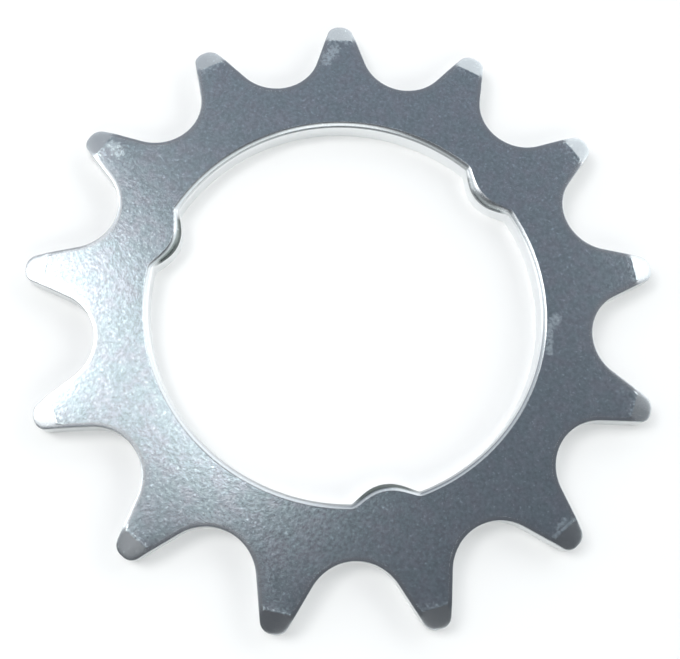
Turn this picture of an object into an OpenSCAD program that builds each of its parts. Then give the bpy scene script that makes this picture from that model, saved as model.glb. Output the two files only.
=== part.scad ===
// Chain sprocket for a bicycle hub gear, stamped from one flat steel plate and zinc plated.
// Half-round lugs in the bore drop into the slots of the hub's driver and carry the drive.
// The bore axis is Z, the rear face lies at z = 0 and the middle of one tooth is on +X.

/* [Chain] */
// Distance from one chain roller to the next
pitch = 12.7; // [12.3:0.1:14]
// Diameter of the chain's rollers
roller_d = 7.77; // [7:0.01:8.6]

/* [Teeth] */
// Number of teeth
teeth = 13; // [13:1:24]
// Extra radius of the round seat between two teeth, over the roller's own radius
seat_clear = 0.4; // [0.1:0.05:0.6]
// Lean of a tooth's flank from the tooth's centre line, in degrees
flank_angle = 18.5; // [15:0.5:22]
// Height of the tooth tips over the circle that the roller centres run on
tip_height = 2.55; // [1.6:0.05:2.6]
// Radius of the two corners of a tooth tip
tip_round = 1.1; // [0.4:0.05:1.3]
// Length of the sloping facet at a tip, measured along the tooth
bevel_length = 1.75; // [0.6:0.05:2]
// Height that the sloping facet drops from the face to the tip
bevel_drop = 0.35; // [0.2:0.05:0.8]

/* [Plate] */
// Thickness of the plate
thickness = 2; // [1.8:0.1:3.2]

/* [Bore] */
// Diameter of the bore between the lugs
bore_d = 35.8; // [32:0.1:38]
// Radius that the punch leaves on the front edge of the bore
bore_roll = 0.5; // [0.2:0.05:0.8]

/* [Lugs] */
// Number of lugs round the bore
lug_count = 3; // [2:1:6]
// Angle from the tooth on +X to the first lug, in degrees
lug_start = 60; // [0:5:120]
// Height of a lug, in from the bore's wall
lug_height = 1.45; // [0.8:0.05:2.2]
// Radius of a lug's half-round outline
lug_radius = 3.45; // [2.6:0.05:4.5]
// Radius that the punch leaves on a lug's front edge
lug_roll = 0.8; // [0.2:0.05:0.8]

/* [Hidden] */
$fn = 96;

// Length by which a cutting shape runs past what it cuts
past = 1;
// Curves that run into each other smoothly overlap by this much, so that they cross and don't just touch
meet = 0.005;
// Share of the full round tip that the tip's corners may take up
full_tip_share = 0.95;

half_tooth = 180 / teeth;
pitch_r = pitch / 2 / sin(half_tooth);
root_r = pitch_r - roller_d / 2;
tip_r = pitch_r + tip_height;

// A seat is a round cut whose lowest point is on the root circle
seat_r = roller_d / 2 + seat_clear;
seat_centre = root_r + seat_r;

// A flank is the straight line that touches the seat and leans in towards the tip.
// Its distance from the bore axis and the direction square to it place everything else on a tooth.
flank_reach = seat_centre * sin(half_tooth + flank_angle) - seat_r + meet;
flank_normal = [sin(flank_angle), cos(flank_angle)];

// The largest corners that fit between the flanks join in one full round
full_tip = (flank_reach - tip_r * sin(flank_angle)) / (1 - sin(flank_angle));
corner_r = min(tip_round, full_tip * full_tip_share);
corner_angle = asin((flank_reach - corner_r) / (tip_r - corner_r)) - flank_angle;

bore_r = bore_d / 2;
lug_centre = bore_r - lug_height + lug_radius;

function at(radius, angle) = radius * [cos(angle), sin(angle)];
function both_sides(points) =
    concat(points, [for (i = [len(points) - 1 : -1 : 0]) [points[i][0], -points[i][1]]]);

// Copies of one shape, evenly spaced about the bore axis
module around(count, start = 0) {
    for (i = [0 : count - 1]) rotate(start + i * 360 / count) children();
}

// Outline of the tooth on +X, from inside the bore to its tip, before the seats beside it are cut.
// Its lower corners reach past the middle of those seats, so that neighbouring teeth overlap.
module tooth_outline() {
    overlap = asin(seat_r / seat_centre) / 2;
    seat_point = at(seat_centre, half_tooth);
    corner_point = at(tip_r - corner_r, corner_angle);
    intersection() {
        circle(tip_r);
        union() {
            polygon(both_sides([
                at(bore_r / 2, half_tooth + overlap),
                at(seat_centre, half_tooth + overlap),
                seat_point - (seat_r - meet) * flank_normal,
                corner_point + corner_r * flank_normal,
                corner_point,
                at(tip_r + past, corner_angle)
            ]));
            for (side = [-1, 1]) translate([corner_point[0], side * corner_point[1]]) circle(corner_r + meet);
        }
    }
}

// Outline of the plate before the bore is punched
module toothed_outline() {
    difference() {
        around(teeth) tooth_outline();
        around(teeth, half_tooth) translate([seat_centre, 0]) circle(seat_r);
    }
}

// Wedge that takes the front face down to the tip of the tooth on +X
module tip_wedge() {
    slope = bevel_drop / bevel_length;
    wedge_width = 4 * seat_r;
    translate([tip_r, wedge_width / 2, thickness]) rotate([90, 0, 0]) linear_extrude(wedge_width)
        polygon([
            [-bevel_length - past, past * slope], [past, past * slope],
            [past, -bevel_drop - past * slope], [-bevel_length, 0]
        ]);
}

module tip_bevels() {
    around(teeth) {
        tip_wedge();
        translate([0, 0, thickness]) mirror([0, 0, 1]) tip_wedge();
    }
}

// Space punched out for the bore, wider at the front where its edge is rolled over
module bore_space() {
    roll_centre = [bore_r + bore_roll - meet, thickness - bore_roll + meet];
    translate([0, 0, -past]) cylinder(h = thickness + 2 * past, r = bore_r);
    rotate_extrude() difference() {
        translate([bore_r - past, roll_centre[1]]) square([roll_centre[0] - bore_r + past, bore_roll + past]);
        translate(roll_centre) circle(bore_roll);
    }
}

// What a lug keeps of the bore's space: one side of a round post with a rolled shoulder at the front
module lug() {
    roll_centre = [lug_radius - lug_roll, thickness - lug_roll + meet];
    translate([lug_centre, 0, 0]) rotate_extrude() {
        translate([0, -2 * past]) square([lug_radius, roll_centre[1] + 2 * past]);
        square([roll_centre[0], thickness + 2 * past]);
        translate(roll_centre) circle(lug_roll + meet);
    }
}

module sprocket() {
    color("lightslategray") difference() {
        linear_extrude(thickness) toothed_outline();
        tip_bevels();
        difference() {
            bore_space();
            around(lug_count, lug_start) lug();
        }
    }
}

sprocket();
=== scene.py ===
import math
from functools import partial

import bpy
import numpy as np
from mathutils import Matrix, Vector


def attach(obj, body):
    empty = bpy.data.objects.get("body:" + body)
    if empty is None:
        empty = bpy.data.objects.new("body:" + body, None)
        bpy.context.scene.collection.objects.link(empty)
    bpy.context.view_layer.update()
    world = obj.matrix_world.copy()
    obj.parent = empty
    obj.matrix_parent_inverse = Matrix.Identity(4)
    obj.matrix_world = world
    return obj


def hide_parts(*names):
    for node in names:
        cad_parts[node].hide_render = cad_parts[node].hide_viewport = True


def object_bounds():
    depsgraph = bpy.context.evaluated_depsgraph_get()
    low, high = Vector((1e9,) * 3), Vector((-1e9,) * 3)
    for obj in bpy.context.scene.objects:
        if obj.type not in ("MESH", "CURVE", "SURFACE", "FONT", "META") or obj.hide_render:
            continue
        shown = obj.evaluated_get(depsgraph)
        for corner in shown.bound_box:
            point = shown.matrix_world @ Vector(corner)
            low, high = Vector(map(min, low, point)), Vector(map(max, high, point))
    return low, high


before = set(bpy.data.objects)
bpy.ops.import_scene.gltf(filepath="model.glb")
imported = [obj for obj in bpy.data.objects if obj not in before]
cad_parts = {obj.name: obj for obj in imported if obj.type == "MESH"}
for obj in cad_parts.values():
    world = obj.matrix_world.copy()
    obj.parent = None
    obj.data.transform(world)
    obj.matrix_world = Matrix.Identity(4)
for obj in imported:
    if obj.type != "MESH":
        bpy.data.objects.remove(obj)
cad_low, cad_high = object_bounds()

# Lengths are written in millimetres and turned to metres where a mesh, a lamp or the camera is made.
# Angles are written in degrees.
MM = 0.001

# Tooth form, as in the part: half inch chain, thirteen teeth
TEETH = 13
PITCH = 12.7
ROLLER_D = 7.77
SEAT_CLEAR = 0.4
FLANK_ANGLE = 18.5
TIP_HEIGHT = 2.55
TIP_ROUND = 1.1
BEVEL_LENGTH = 1.75
BEVEL_DROP = 0.35

# Bore and lugs, as in the part. Only the fillet where a lug runs into the bore is this script's own.
BORE_D = 35.8
LUG_COUNT = 3
LUG_START = 60
LUG_HEIGHT = 1.45
LUG_RADIUS = 3.45
LUG_FILLET = 1.1

# Edges as the press leaves them, walked from the face down to the wall. Each pair is a length and the tilt
# from the face at its end. The bore's edge is rolled over, more so on the lugs. The toothed edge slopes
# gently and then ends in a sharp corner. Every length is drawn in this many steps.
BORE_EDGE = ((0.05, 32), (0.32, 44), (0.07, 52), (0.18, 64), (0.12, 90))
LUG_EDGE = ((0.05, 28), (0.36, 41), (0.30, 52), (0.25, 66), (0.16, 90))
TOOTHED_EDGE = ((0.3, 4), (0.04, 40), (0.04, 90))
BACK_EDGE = ((0.012, 45), (0.012, 90))
EDGE_STEPS = 3

# The face sags a little towards the toothed edge, and the bevel throws up a burr where it starts
SAG_WIDTH = 1.5
SAG_DEPTH = 0.04
BURR_HEIGHT = 0.008
BURR_WIDTH = 0.07
BEVEL_BEND = BURR_WIDTH / 4

# Columns of the mesh on each stretch of half a tooth
CROWN_COLUMNS = 3
CORNER_COLUMNS = 10
FLANK_COLUMNS = 11
SEAT_COLUMNS = 16

# Rows of the mesh, as shares of the way over a tip's bevel and then over the rest of a face. They lie close
# together where the bevel starts, to draw its burr. In the gap between two teeth, where there is no bevel,
# its rows lie within the least share of the way.
BEVEL_ROWS = (0.3, 0.6, 0.82, 0.93, 0.98)
FACE_ROWS = (0, 0.004, 0.009, 0.015, 0.025, 0.04, 0.07, 0.12, 0.2, 0.3, 0.45, 0.6, 0.8, 0.95, 0.995)
LEAST_BEVEL_SHARE = 0.008
WALL_ROWS = 4

# Width of the smooth border that the press has pushed flat along the toothed edge
BORDER = 1.1

# The toothed edge's wall is less rough and pale than the bore's
TOOTHED_WALL_SHARE = 0.75

# At the foot of the bore's rolled edge, over this many of its lengths, the metal is coloured like the sheared
# wall.
# Above the last length a painted dark reflection line leaves it the plating's colour instead, strongest at
# this angle from +X and opposite it.
FOOT_LENGTHS = 3
PAINTED_DARK_LINE_ANGLE = 110.5

# The lugs' shoulders carry a painted dark reflection from this depth below the face, where a lug has this
# share of its height. The painted dark reflection is strongest on the far side of the bore from the first
# lug.
DARK_REFLECTION_DROP = 0.11
DARK_REFLECTION_SHARE = 0.4
DARK_REFLECTION_LEVEL = 0.65
DARK_REFLECTION_LEAN = 0.35

# The bevel's punch leaves pale specks on the face, up to this far in from where the bevel starts
SPECK_REACH = 0.9

# Places where the plating is rubbed pale: beside the bore at the right, and on three of the teeth. Each is a
# line on the face from one point to another, how far the mark reaches round it, and how softly it ends.
WORN_MARKS = (
    ((18.2, 4.1), (18.72, 2.1), 0.12, 0.4), ((18.2, 4.6), (18.5, 5.4), 0.15, 0.7),
    ((-10.2, 22.9), (-9.9, 24.5), 0.1, 0.9), ((-25.9, 6.75), (-25.0, 6.4), 0.1, 0.9),
    ((23.4, -13.6), (24.8, -11.5), 0.0, 0.3), ((23.6, -12.75), (24.0, -11.9), 0.0, 0.5),
)

# Worked out from the sizes above
THICKNESS = (cad_high.z - cad_low.z) / MM
FACE_HEIGHT = THICKNESS - BURR_HEIGHT
HALF_TOOTH = math.pi / TEETH
FLANK = math.radians(FLANK_ANGLE)
PITCH_R = PITCH / 2 / math.sin(HALF_TOOTH)
ROOT_R = PITCH_R - ROLLER_D / 2
TIP_R = PITCH_R + TIP_HEIGHT
SEAT_R = ROLLER_D / 2 + SEAT_CLEAR
SEAT_CENTRE = ROOT_R + SEAT_R
FLANK_REACH = SEAT_CENTRE * math.sin(HALF_TOOTH + FLANK) - SEAT_R
CORNER_ANGLE = math.asin((FLANK_REACH - TIP_ROUND) / (TIP_R - TIP_ROUND)) - FLANK
BEVEL_START = TIP_R - BEVEL_LENGTH
BORE_R = BORE_D / 2
LUG_CENTRE = BORE_R - LUG_HEIGHT + LUG_RADIUS


def direction(angle):
    """Unit vectors at these angles from +X, as an array with x and y in its last axis."""
    return np.stack([np.cos(angle), np.sin(angle)], axis=-1)


def half_tooth_edge():
    """Half the edge of the tooth on +X, from the middle of its tip to the middle of the next seat.
    It is an arc about the bore axis, an arc round the tip's corner, the straight flank and an arc
    about the seat's centre. Returns the points and the edge's outward directions."""
    flank_normal = np.array([math.sin(FLANK), math.cos(FLANK)])
    corner_point = (TIP_R - TIP_ROUND) * direction(CORNER_ANGLE)
    seat_point = SEAT_CENTRE * direction(HALF_TOOTH)

    def steps(count):
        return (np.arange(count) + 0.5) / count

    crown_out = direction(CORNER_ANGLE * steps(CROWN_COLUMNS))
    normal_angle = math.pi / 2 - FLANK
    corner_out = direction(CORNER_ANGLE + (normal_angle - CORNER_ANGLE) * steps(CORNER_COLUMNS))
    top = corner_point + TIP_ROUND * flank_normal
    foot = seat_point - SEAT_R * flank_normal
    flank_out = np.broadcast_to(flank_normal, (FLANK_COLUMNS, 2))
    seat_out = direction(normal_angle + (HALF_TOOTH - normal_angle) * steps(SEAT_COLUMNS))
    points = np.concatenate([
        TIP_R * crown_out, corner_point + TIP_ROUND * corner_out,
        top + (foot - top) * steps(FLANK_COLUMNS)[:, None], seat_point - SEAT_R * seat_out,
    ])
    return points, np.concatenate([crown_out, corner_out, flank_out, seat_out])


def tooth_edge():
    """The whole toothed edge as closed columns: the half tooth, mirrored and turned to every tooth.
    Returns the points, the outward directions, each column's tooth angle and its share of the way
    from the tooth's middle to the middle of the gap, from -1 to 1."""
    points, out = half_tooth_edge()
    mirror = np.array([1, -1])
    points = np.concatenate([points[::-1] * mirror, points])
    out = np.concatenate([out[::-1] * mirror, out])
    share = (np.arange(len(points)) + 0.5) / len(points) * 2 - 1
    tooth = np.arange(TEETH) * 2 * HALF_TOOTH
    turn = np.array([[np.cos(tooth), np.sin(tooth)], [-np.sin(tooth), np.cos(tooth)]])
    points = np.einsum("ni,ijt->tnj", points, turn).reshape(-1, 2)
    out = np.einsum("ni,ijt->tnj", out, turn).reshape(-1, 2)
    return points, out, np.repeat(tooth, len(share)), np.tile(share, TEETH)


def smooth_least(a, b, blend):
    """The lesser of two arrays, with a parabola of that width where they cross."""
    mix = np.clip(0.5 + (b - a) / (2 * blend), 0, 1)
    return b + (a - b) * mix - blend * mix * (1 - mix)


def bore_edge(angle):
    """The bore's edge at these angles: the bore circle, pushed in along each lug's circle, with a
    small fillet between them. Returns the points, the directions into the metal, and each point's
    share of a lug's height."""
    lug_step = 2 * math.pi / LUG_COUNT
    off = (angle - math.radians(LUG_START) + lug_step / 2) % lug_step - lug_step / 2
    room = np.maximum(LUG_RADIUS**2 - (LUG_CENTRE * np.sin(off)) ** 2, 0)
    lug = np.where(room > 0, LUG_CENTRE * np.cos(off) - np.sqrt(room), TIP_R)
    radius = smooth_least(np.full_like(angle, BORE_R), lug, LUG_FILLET)
    points = radius[:, None] * direction(angle)
    along = np.roll(points, -1, axis=0) - np.roll(points, 1, axis=0)
    along /= np.linalg.norm(along, axis=1, keepdims=True)
    into = np.stack([along[:, 1], -along[:, 0]], axis=-1)
    return points, into, np.clip((BORE_R - radius) / LUG_HEIGHT, 0, 1)


def walk(edge):
    """Walks down an edge from the face to the wall, with the tilt changing evenly along each length.
    Returns the distance still to go to the wall and the drop below the face, at each step."""
    lengths, tilts = np.array(edge).T
    ends = np.concatenate([[0], np.cumsum(lengths)])
    share = (np.arange(len(lengths) * EDGE_STEPS) + 1) / EDGE_STEPS
    along = np.concatenate([[0], np.interp(share, np.arange(len(ends)), ends)])
    tilt = np.radians(np.interp(along, ends, np.concatenate([[0], tilts])))
    middle = (tilt[1:] + tilt[:-1]) / 2
    run = np.cumsum(np.diff(along) * np.cos(middle))
    drop = np.cumsum(np.diff(along) * np.sin(middle))
    return np.concatenate([[run[-1]], run[-1] - run]), np.concatenate([[0], drop])


def blend_edges(first, second, share):
    """The runs and drops of an edge that passes from the first kind to the second along the ring, with
    one row for each column's share of the second."""
    pairs = zip(walk(first), walk(second))
    return [a + (b - a) * share[:, None] for a, b in pairs]


def to_outline(points, tooth):
    """How far points lie along their tooth from the bore axis, and how far inside the toothed edge. That is
    measured square to the flank beyond its foot, and from the seat's circle before it."""
    x = points[..., 0] * np.cos(tooth) + points[..., 1] * np.sin(tooth)
    y = np.abs(points[..., 1] * np.cos(tooth) - points[..., 0] * np.sin(tooth))
    past_foot = x * math.cos(FLANK) - y * math.sin(FLANK) > SEAT_CENTRE * math.cos(HALF_TOOTH + FLANK)
    to_flank = FLANK_REACH - x * math.sin(FLANK) - y * math.cos(FLANK)
    seat = SEAT_CENTRE * direction(HALF_TOOTH)
    to_seat = np.hypot(x - seat[0], y - seat[1]) - SEAT_R
    return x, np.where(past_foot, to_flank, to_seat)


def face_drop(points, tooth):
    """How far a face lies below its plane, in two parts. The first is the sloping bevel at each tip, which
    bends in softly as the logarithm of one plus an exponential does. The second is a slight sag that grows
    with the square of the nearness to the toothed edge, less a bell-shaped burr where the bevel starts."""
    x, inside = to_outline(points, tooth)
    past_start = x - BEVEL_START
    bevel = np.logaddexp(0, past_start / BEVEL_BEND) * BEVEL_BEND * BEVEL_DROP / BEVEL_LENGTH
    burr = BURR_HEIGHT * np.exp(-((past_start + BURR_WIDTH) / BURR_WIDTH) ** 2)
    near = np.clip(1 - inside / SAG_WIDTH, 0, 1)
    out_on_tooth = np.clip((x - ROOT_R) / (BEVEL_START - ROOT_R), 0, 1)
    return bevel, SAG_DEPTH * near**2 * out_on_tooth - burr


def across(start, end, tooth):
    """Rows straight across a face, from the toothed edge to the bore. One row runs along the start of
    the tip's bevel, and rows lie close together beside it."""
    x_start = (start * direction(tooth)).sum(axis=-1)
    x_end = (end * direction(tooth)).sum(axis=-1)
    crease = np.maximum((x_start - BEVEL_START) / (x_start - x_end), LEAST_BEVEL_SHARE)[:, None]
    on_face = crease + (1 - crease) * np.array(FACE_ROWS)
    share = np.concatenate([crease * np.array(BEVEL_ROWS), on_face], axis=1)
    return start[:, None] + (end - start)[:, None] * share[..., None]


def bridge(upper, lower):
    """Rows evenly spaced between the last row of one band and the first row of the next."""
    share = (np.arange(WALL_ROWS) + 1)[:, None] / (WALL_ROWS + 1)
    return upper[:, -1:] * (1 - share) + lower[:, :1] * share


def ring_surface():
    """The sprocket's surface as bands of rows that all run once round the ring: the front face from the
    toothed edge to the bore, the bore's front edge, its wall and its back edge, the back face, and the
    toothed edge from back to front. A row's height is the face's height less its own drop.
    Returns the points and the marks for the finish."""
    edge, out, tooth, share = tooth_edge()
    angle = tooth + share * HALF_TOOTH
    bore, into, on_lug = bore_edge(angle)

    def front(points, drop):
        bevel, sag = face_drop(points, tooth[:, None])
        return np.concatenate([points, (FACE_HEIGHT - bevel - sag - drop)[..., None]], axis=-1)

    def back(points, drop):
        bevel, _ = face_drop(points, tooth[:, None])
        return np.concatenate([points, (bevel + drop)[..., None]], axis=-1)

    def rows(at, inward, run):
        return at[:, None] + inward[:, None] * run[..., None]

    edge_run, edge_drop = walk(TOOTHED_EDGE)
    back_run, back_drop = walk(BACK_EDGE)
    bore_run, bore_drop = blend_edges(BORE_EDGE, LUG_EDGE, on_lug)
    toothed = rows(edge, -out, edge_run[None])
    toothed_back = rows(edge, -out, back_run[None])
    bored = rows(bore, into, bore_run)
    bored_back = rows(bore, into, back_run[None])

    inner_front = front(bored, bore_drop)
    inner_back = back(bored_back, back_drop)[:, ::-1]
    outer_back = back(toothed_back, back_drop)
    outer_front = front(toothed, edge_drop)[:, ::-1]
    bands = {
        "front_face": front(across(toothed[:, 0], bored[:, 0], tooth), 0),
        "bore_edge": inner_front,
        "bore_wall": bridge(inner_front, inner_back),
        "bore_back_edge": inner_back,
        "back_face": back(across(toothed_back[:, 0], bored_back[:, 0], tooth), 0)[:, ::-1],
        "toothed_back_edge": outer_back,
        "toothed_wall": bridge(outer_back, outer_front),
        "toothed_edge": outer_front,
    }
    points = np.concatenate(list(bands.values()), axis=1)
    row_names = np.repeat(list(bands), [band.shape[1] for band in bands.values()])
    return points, finish_marks(points, row_names, tooth, angle, on_lug)


def finish_marks(points, row_names, tooth, angle, on_lug):
    """The marks from 0 to 1 that tell the finish what each point of the ring is: sheared walls, coined places
    without grain, nearness to the toothed edge, the painted dark reflection on the lugs' shoulders, and the
    specks beside the bevels. Nearness falls evenly with the distance from the edge, and so do the specks from
    the bevel. The painted dark reflection rises evenly with depth, and the painted dark line at the bore's
    foot fades as a squared cosine round the bore."""
    x, inside = to_outline(points, tooth[:, None])
    on_shoulder = np.clip(on_lug / DARK_REFLECTION_SHARE, 0, 1)

    sheared = np.zeros(points.shape[:2])
    sheared[:, np.isin(row_names, ("bore_wall", "bore_back_edge"))] = 1
    sheared[:, np.isin(row_names, ("toothed_wall", "toothed_back_edge"))] = TOOTHED_WALL_SHARE
    foot = np.flatnonzero(row_names == "bore_edge")[-FOOT_LENGTHS * EDGE_STEPS:]
    # Painted dark reflection line along the foot of the bore's edge, strongest at its angle and opposite it
    painted_dark_line = np.cos(angle - math.radians(PAINTED_DARK_LINE_ANGLE)) ** 2
    sheared[:, foot] = 1 - np.maximum(painted_dark_line, on_shoulder)[:, None]
    sheared[:, foot[-EDGE_STEPS:]] = 1

    # Painted dark reflection on the lugs' shoulders, strongest on the far side from the first lug
    from_first_lug = angle - math.radians(LUG_START)
    dark_reflection_strength = on_shoulder * (DARK_REFLECTION_LEVEL - DARK_REFLECTION_LEAN * np.cos(from_first_lug))
    deep = np.clip((FACE_HEIGHT - points[..., 2]) / DARK_REFLECTION_DROP - 1, 0, 1) * (row_names == "bore_edge")
    by_bevel = np.clip(1 - (BEVEL_START - x) / SPECK_REACH, 0, 1) * (x <= BEVEL_START)
    return {
        "sheared": sheared,
        "coined": np.where(np.isin(row_names, ("front_face", "back_face")), x > BEVEL_START, 1.0),
        "border": np.clip(1 - inside / BORDER, 0, 1),
        "painted_dark_reflection": deep * dark_reflection_strength[:, None],
        "specked": by_bevel * (row_names == "front_face"),
    }


def closed_mesh(name, points, marks):
    """A mesh from a grid that closes both ways, with its marks as attributes of the vertices."""
    columns, rows = points.shape[:2]
    here = np.arange(columns * rows).reshape(columns, rows)
    side = np.roll(here, -1, axis=0)
    corners = [here, np.roll(here, -1, axis=1), np.roll(side, -1, axis=1), side]
    quads = np.stack(corners, axis=-1).reshape(-1, 4)
    mesh = bpy.data.meshes.new(name)
    mesh.vertices.add(columns * rows)
    mesh.vertices.foreach_set("co", (points * MM).astype(np.float32).ravel())
    mesh.loops.add(quads.size)
    mesh.loops.foreach_set("vertex_index", quads.ravel().astype(np.int32))
    mesh.polygons.add(len(quads))
    mesh.polygons.foreach_set("loop_start", np.arange(0, quads.size, 4, dtype=np.int32))
    mesh.polygons.foreach_set("loop_total", np.full(len(quads), 4, dtype=np.int32))
    mesh.polygons.foreach_set("use_smooth", np.ones(len(quads), dtype=bool))
    mesh.update(calc_edges=True)
    mesh.validate()
    for mark, values in marks.items():
        attribute = mesh.attributes.new(mark, "FLOAT", "POINT")
        attribute.data.foreach_set("value", values.astype(np.float32).ravel())
    piece = bpy.data.objects.new(name, mesh)
    bpy.context.scene.collection.objects.link(piece)
    return piece


def linear(hex_colour):
    """An sRGB hex colour as the linear values that a shader socket takes."""
    srgb = np.array([int(hex_colour[i:i + 2], 16) for i in (1, 3, 5)]) / 255
    values = np.where(srgb <= 0.04045, srgb / 12.92, ((srgb + 0.055) / 1.055) ** 2.4)
    return (*values.tolist(), 1.0)


def per_mm(size):
    """A texture scale that gives features of this size in millimetres on Object coordinates in metres."""
    return 1 / (size * MM)


def empty_tree(owner):
    """Gives a material or a world a node tree with nothing in it."""
    owner.use_nodes = True
    owner.node_tree.nodes.clear()
    return owner.node_tree


def add_node(tree, kind, inputs, output=0, **settings):
    """Adds a node, sets its properties, and gives its inputs a value or a link from another socket. The
    inputs are given by name or number, or as a tuple in the node's own order. Returns one of its outputs."""
    node = tree.nodes.new(kind)
    for name, value in settings.items():
        setattr(node, name, value)
    if not isinstance(inputs, dict):
        inputs = dict(enumerate(inputs))
    for name, value in inputs.items():
        if isinstance(value, bpy.types.NodeSocket):
            tree.links.new(value, node.inputs[name])
        else:
            node.inputs[name].default_value = value
    return node.outputs[output] if node.outputs else None


def near_line(add, coords, start, end, reach, soft):
    """A mask on the front face: 1 up to that reach from the line between two points, then falling to 0 over
    a soft edge. It follows the distance to the nearest point of the line."""
    start = Vector((*start, THICKNESS)) * MM
    line = Vector((*end, THICKNESS)) * MM - start
    per_length = line / line.length_squared
    offset = add("ShaderNodeVectorMath", (coords, start), operation="SUBTRACT")
    along = add("ShaderNodeVectorMath", (offset, per_length), "Value", operation="DOT_PRODUCT")
    kept = add("ShaderNodeClamp", {"Value": along})
    nearest = add("ShaderNodeVectorMath", {0: line, "Scale": kept}, operation="SCALE")
    distance = add("ShaderNodeVectorMath", (offset, nearest), "Value", operation="DISTANCE")
    ends = (reach * MM, (reach + soft) * MM)
    return add("ShaderNodeMapRange", (distance, *ends, 1.0, 0.0), interpolation_type="SMOOTHSTEP")


# Colours of the plating on the face, each with the value of the blotches' noise at which it lies, and its
# colours on pressed places, of the painted dark reflection on the lugs' shoulders, on the sheared walls and
# where it is rubbed
PLATING = ((0.36, "#a1adb0"), (0.5, "#a4aeb2"), (0.64, "#a7adb2"))
PRESSED = "#a7abad"
# Colour of the painted dark reflection on the lugs' shoulders
DARK_REFLECTION = "#525a57"
SHEARED = "#f2f4f5"
RUBBED = "#dbe6e6"
FACE_ROUGHNESS = 0.26
WALL_ROUGHNESS = 0.4

# Patterns of the finish, each with the size of its features and how many finer layers it has. The real grain
# is too fine to show in the picture, so it is drawn this coarse, and so are the painted glints, bright specks
# in the colour. The streaks run down the walls, so they are stretched in height.
PATTERNS = {
    "blotches": (1.3, 3.0),
    "grain": (0.3, 2.0),
    "painted_glints": (0.24, 1.0),
    "patches": (11.0, 0.0),
    "flecks": (0.26, 4.0),
}
STREAK_SIZE = 0.25
STREAK_LAYERS = 2.0
STREAK_STRETCH = (1.0, 1.0, 0.08)
RELIEF_DEPTH = 0.012
RELIEF_STRENGTH = 0.8

# What the patterns do. A range takes its first two values to its last two.
BORDER_RANGE = (0.2, 1.0, 0.0, 0.7)
GRAIN_RANGE = (0.3, 0.7, -0.13, 0.13)
# Painted glints: how much brighter the specks make the colour
PAINTED_GLINT_RANGE = (0.66, 0.74, 0.0, 0.35)
PATCH_RANGE = (0.4, 0.55, 0.3, 0.75)
FLECK_WEIGHT = 2.6
FLECK_RANGE = (1.6, 2.4, 0.0, 0.95)


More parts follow.
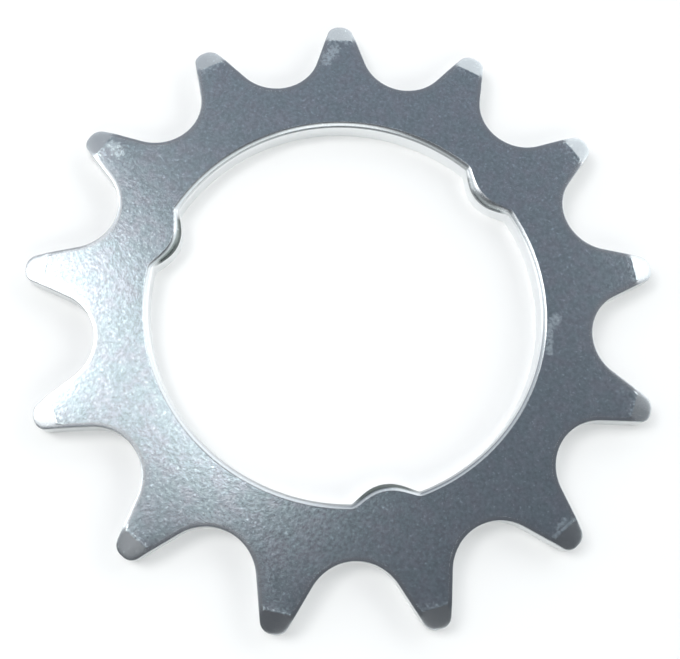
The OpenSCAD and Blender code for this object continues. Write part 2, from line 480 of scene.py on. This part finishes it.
def zinc_plated_steel():
    """Cold rolled steel, blanked, barrel plated with bright zinc and left unpolished. The plating follows
    the matt grain of the sheet, so the face is satin and cool grey with faint blotches of green and violet,
    with painted glints, bright specks in its colour. Places that the press has pushed flat are smoother
    and plainer, and the sheared walls are paler, with streaks down them. The lugs' shoulders carry a
    painted dark reflection. Where the plating is rubbed, it shows pale flecks."""
    material = bpy.data.materials.new("zinc_plated_steel")
    add = partial(add_node, empty_tree(material))
    coords = add("ShaderNodeTexCoord", (), "Object")
    sheared, coined, border, painted_dark_reflection, specked = (
        add("ShaderNodeAttribute", (), "Fac", attribute_name=mark)
        for mark in ("sheared", "coined", "border", "painted_dark_reflection", "specked"))
    noise = {
        name: add("ShaderNodeTexNoise", {"Vector": coords, "Scale": per_mm(size), "Detail": layers})
        for name, (size, layers) in PATTERNS.items()}

    # Plating, plainer where it was pressed
    tint = add("ShaderNodeValToRGB", (noise["blotches"],))
    stops = tint.node.color_ramp.elements
    stops.new(PLATING[1][0])
    for stop, (place, colour) in zip(stops, PLATING):
        stop.position = place
        stop.color = linear(colour)
    edge_tint = add("ShaderNodeMapRange", (border, *BORDER_RANGE))
    pressed = add("ShaderNodeMath", (edge_tint, coined), operation="MAXIMUM")
    matt = add("ShaderNodeMath", (1.0, pressed), operation="SUBTRACT", use_clamp=True)
    plating = add("ShaderNodeMix", {0: pressed, 6: tint, 7: linear(PRESSED)}, 2, data_type="RGBA")

    # Grain of the matt places, and painted glints: bright specks in their colour
    speckle = add("ShaderNodeMapRange", (noise["grain"], *GRAIN_RANGE))
    painted_glint = add("ShaderNodeMapRange", (noise["painted_glints"], *PAINTED_GLINT_RANGE))
    spots = add("ShaderNodeMath", (speckle, painted_glint), operation="ADD")
    level = add("ShaderNodeMath", (spots, matt, 1.0), operation="MULTIPLY_ADD")
    spotted = add("ShaderNodeVectorMath", {0: plating, "Scale": level}, operation="SCALE")

    # Painted dark reflection on the shoulders, the walls, and the relief of grain and streaks
    with_dark_reflection = add("ShaderNodeMix", {0: painted_dark_reflection, 6: spotted, 7: linear(DARK_REFLECTION)}, 2, data_type="RGBA")
    walled = add("ShaderNodeMix", {0: sheared, 6: with_dark_reflection, 7: linear(SHEARED)}, 2, data_type="RGBA")
    down_wall = add("ShaderNodeMapping", {"Vector": coords, "Scale": STREAK_STRETCH})
    streaks = add("ShaderNodeTexNoise", {
        "Vector": down_wall, "Scale": per_mm(STREAK_SIZE), "Detail": STREAK_LAYERS})
    matt_grain = add("ShaderNodeMath", (noise["grain"], matt), operation="MULTIPLY")
    relief = add("ShaderNodeMix", {0: sheared, 2: matt_grain, 3: streaks}, data_type="FLOAT")
    bump = add("ShaderNodeBump", {
        "Strength": RELIEF_STRENGTH, "Distance": RELIEF_DEPTH * MM, "Height": relief})
    roughness = add("ShaderNodeMix", {0: sheared, 2: FACE_ROUGHNESS, 3: WALL_ROUGHNESS}, data_type="FLOAT")

    # Rubbed places, broken up into flecks
    patches = add("ShaderNodeMapRange", (noise["patches"], *PATCH_RANGE))
    worn = add("ShaderNodeMath", (specked, patches), operation="MULTIPLY")
    for worn_mark in WORN_MARKS:
        worn = add("ShaderNodeMath", (worn, near_line(add, coords, *worn_mark)), operation="MAXIMUM")
    broken_up = add("ShaderNodeMath", (noise["flecks"], FLECK_WEIGHT, worn), operation="MULTIPLY_ADD")
    rubbed = add("ShaderNodeMapRange", (broken_up, *FLECK_RANGE))
    colour = add("ShaderNodeMix", {0: rubbed, 6: walled, 7: linear(RUBBED)}, 2, data_type="RGBA")
    shader = add("ShaderNodeBsdfPrincipled", {
        "Base Color": colour, "Metallic": 1.0, "Roughness": roughness, "Normal": bump})
    add("ShaderNodeOutputMaterial", {"Surface": shader})
    return material


# Size of the paper under the part, and how much it glows where the camera or the metal sees it
PAPER_WIDTH = 1200
PAPER_GLOW = 0.13


def studio_paper():
    """White matt paper under the part. Seen by the camera or in the metal it glows a little, so that it
    clears to white, and it keeps the soft shadow round the part."""
    material = bpy.data.materials.new("studio_paper")
    add = partial(add_node, empty_tree(material))
    rays = add("ShaderNodeLightPath", ()).node.outputs
    seen = add("ShaderNodeMath", (rays["Is Camera Ray"], rays["Is Glossy Ray"]), operation="MAXIMUM")
    seen = add("ShaderNodeMath", (seen, rays["Is Transmission Ray"]), operation="MAXIMUM")
    glow = add("ShaderNodeMath", (seen, PAPER_GLOW), operation="MULTIPLY")
    shader = add("ShaderNodeBsdfPrincipled", {
        "Base Color": linear("#dededc"), "Roughness": 0.9, "Specular IOR Level": 0.0,
        "Emission Color": linear("#ffffff"), "Emission Strength": glow})
    add("ShaderNodeOutputMaterial", {"Surface": shader})
    return material


def make_sprocket():
    piece = closed_mesh("sprocket_plate", *ring_surface())
    piece.data.materials.append(zinc_plated_steel())
    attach(piece, "root")
    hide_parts("sprocket")


def make_floor():
    reach = PAPER_WIDTH / 2 * MM
    corners = [(-reach, -reach, 0), (reach, -reach, 0), (reach, reach, 0), (-reach, reach, 0)]
    mesh = bpy.data.meshes.new("floor")
    mesh.from_pydata(corners, [], [(0, 1, 2, 3)])
    floor = bpy.data.objects.new("floor", mesh)
    bpy.context.scene.collection.objects.link(floor)
    mesh.materials.append(studio_paper())


# The camera looks down at the plate. Its place is given by turning the plate about Z, X and Y in front
# of a camera that looks along -Z, and then shifting it.
CAMERA_TURN = -20.55
CAMERA_PITCH = -15.87
CAMERA_YAW = 4.27
CAMERA_SHIFT = Vector((0.72, 2.41, -78.28))
CAMERA_LENS = 45.71
CAMERA_SENSOR = 36.0
CAMERA_NEAR = 5
CAMERA_FAR = 5000


def plate_to_camera():
    """The turn that takes the plate's axes to the camera's: about Z first, then X, then Y."""
    turns = ((CAMERA_YAW, "Y"), (CAMERA_PITCH, "X"), (CAMERA_TURN, "Z"))
    matrix = Matrix.Identity(4)
    for angle, axis in turns:
        matrix = matrix @ Matrix.Rotation(math.radians(angle), 4, axis)
    return matrix


def make_camera():
    data = bpy.data.cameras.new("camera")
    data.sensor_width = CAMERA_SENSOR
    data.lens = CAMERA_LENS
    data.clip_start = CAMERA_NEAR * MM
    data.clip_end = CAMERA_FAR * MM
    camera = bpy.data.objects.new("camera", data)
    bpy.context.scene.collection.objects.link(camera)
    back = plate_to_camera().inverted()
    place = back @ (-CAMERA_SHIFT) + Vector((0, 0, THICKNESS))
    camera.matrix_world = Matrix.Translation(place * MM) @ back
    bpy.context.scene.camera = camera


def towards(heading, height=0):
    """The direction to a heading in the picture, from its right-hand side round to its top, and to a
    height above the floor."""
    around = math.radians(heading - CAMERA_TURN)
    up = math.radians(height)
    return Vector((math.cos(around) * math.cos(up), math.sin(around) * math.cos(up), math.sin(up)))


# Lamps, each with its direction, its distance from the middle of the plate, its width and height, and a
# brightness at which 1 is white. The strip light and the near lamp make the bright part of the face at the
# left, the panels and cards are what the facets and edges mirror, and the low cards line the bore's edge.
LAMPS = {
    "strip_light": dict(heading=152, height=57, distance=500, size=(200, 220), brightness=5.4),
    "near_lamp": dict(heading=130, height=80, distance=153, size=(34, 30), brightness=4.4),
    "side_panel": dict(heading=166, height=47, distance=330, size=(170, 110), brightness=3.4),
    "right_card": dict(heading=27, height=40, distance=330, size=(80, 70), brightness=4.2),
    "near_panel": dict(heading=278, height=41, distance=330, size=(210, 90), brightness=2.2),
    "left_card": dict(heading=213, height=60, distance=500, size=(95, 90), brightness=1.1),
    "left_low_card": dict(heading=170, height=14, distance=330, size=(170, 150), brightness=1.9),
    "right_low_card": dict(heading=38, height=9, distance=330, size=(600, 115), brightness=2.0),
}


def make_lamp(name, heading, height, distance, size, brightness):
    """A flat lamp that faces the plate. Its power is brightness times area times pi."""
    data = bpy.data.lights.new(name, "AREA")
    data.shape = "RECTANGLE"
    data.size = size[0] * MM
    data.size_y = size[1] * MM
    data.energy = brightness * data.size * data.size_y * math.pi
    lamp = bpy.data.objects.new(name, data)
    bpy.context.scene.collection.objects.link(lamp)
    to_lamp = towards(heading, height)
    lamp.location = to_lamp * distance * MM
    lamp.rotation_mode = "QUATERNION"
    lamp.rotation_quaternion = to_lamp.to_track_quat("Z", "Y")


# The sky is lighter towards the top of the picture. Low round the horizon lies a brighter band between two
# heights, strongest at the lower right and weakest at the upper left, with edges that are soft over this
# much of the height's sine. A lean is what a level gains towards its heading and loses away from it.
SKY_HEADING = 95
SKY_LEVEL = 0.25
SKY_LEAN = 0.32
SKY_LEAST = 0.1
BAND_HEIGHTS = (13, 39)
BAND_SOFT = 0.06
BAND_HEADING = 345
BAND_LEVEL = 1.5
BAND_LEAN = 0.9


def make_world():
    """Cool light from all round, with a brighter band that lines the rolled edges of the part."""
    world = bpy.data.worlds.new("studio")
    add = partial(add_node, empty_tree(world))
    view = add("ShaderNodeTexCoord", (), "Generated")
    rise = add("ShaderNodeSeparateXYZ", (view,), "Z")

    def leaning(heading, lean, level):
        share = add("ShaderNodeVectorMath", (view, towards(heading)), "Value", operation="DOT_PRODUCT")
        return add("ShaderNodeMath", (share, lean, level), operation="MULTIPLY_ADD")

    low, high = (math.sin(math.radians(height)) for height in BAND_HEIGHTS)
    above = add("ShaderNodeMapRange", (rise, low, low + BAND_SOFT), interpolation_type="SMOOTHSTEP")
    below = add("ShaderNodeMapRange", (rise, high, high - BAND_SOFT), interpolation_type="SMOOTHSTEP")
    inside = add("ShaderNodeMath", (above, below), operation="MULTIPLY")
    band = add("ShaderNodeMath", (inside, leaning(BAND_HEADING, BAND_LEAN, BAND_LEVEL)), operation="MULTIPLY")
    plain = add("ShaderNodeMath", (leaning(SKY_HEADING, SKY_LEAN, SKY_LEVEL), SKY_LEAST), operation="MAXIMUM")
    sky = add("ShaderNodeBackground", (linear("#e4ecff"), plain))
    glow = add("ShaderNodeBackground", (linear("#f8fcfb"), band))
    both = add("ShaderNodeAddShader", (sky, glow))
    add("ShaderNodeOutputWorld", {"Surface": both})
    bpy.context.scene.world = world


make_sprocket()
make_floor()
for lamp_name, lamp_setup in LAMPS.items():
    make_lamp(lamp_name, **lamp_setup)
make_world()
make_camera()
bpy.context.scene.view_settings.view_transform = "Standard"
